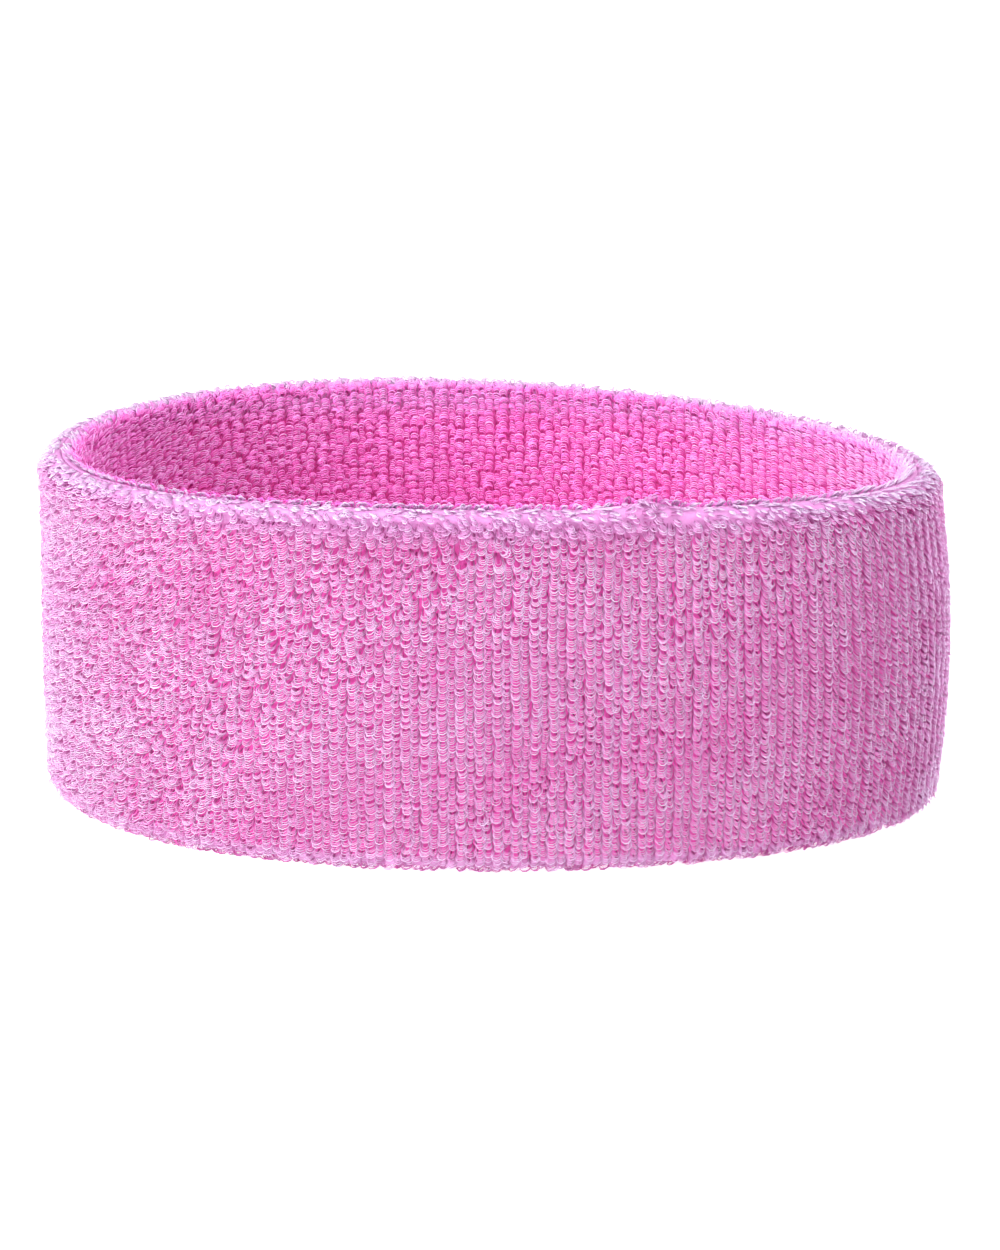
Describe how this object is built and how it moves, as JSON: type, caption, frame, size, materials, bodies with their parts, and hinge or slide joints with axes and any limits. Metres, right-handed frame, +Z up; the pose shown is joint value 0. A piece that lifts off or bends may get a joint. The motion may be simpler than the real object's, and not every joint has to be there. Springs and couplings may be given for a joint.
{
  "type": "sports headband",
  "caption": "Knitted terry sports headband: a soft oval band with looped pile outside and inside, folded double over elastic yarns and closed by a seam hidden in its top rim.",
  "frame": {"origin": "centre of the bounding box's bottom face, on the surface the band stands on", "axes": "+X right across the band's width, +Y from its front to its back, +Z up along the wales"},
  "size_m": [0.148, 0.1052, 0.0582],
  "materials": {
    "outer_pile": "pink cotton terry loops, matt with a soft sheen",
    "inner_pile": "pink cotton terry loops, matt with a soft sheen",
    "ground_knit": "flat knit ground, matt",
    "elastic": "covered elastane yarn, satin",
    "seam_thread": "polyester sewing thread, satin"
  },
  "bodies": {
    "root": {"outer_terry_pile": "outer_pile", "inner_terry_pile": "inner_pile", "outer_ground_knit": "ground_knit", "inner_ground_knit": "ground_knit", "elastic_yarn_1": "elastic", "elastic_yarn_2": "elastic", "elastic_yarn_3": "elastic", "elastic_yarn_4": "elastic", "seam_needle_thread": "seam_thread", "seam_looper_thread": "seam_thread", "seam_tail_knot": "seam_thread"}
  },
  "joints": []
}
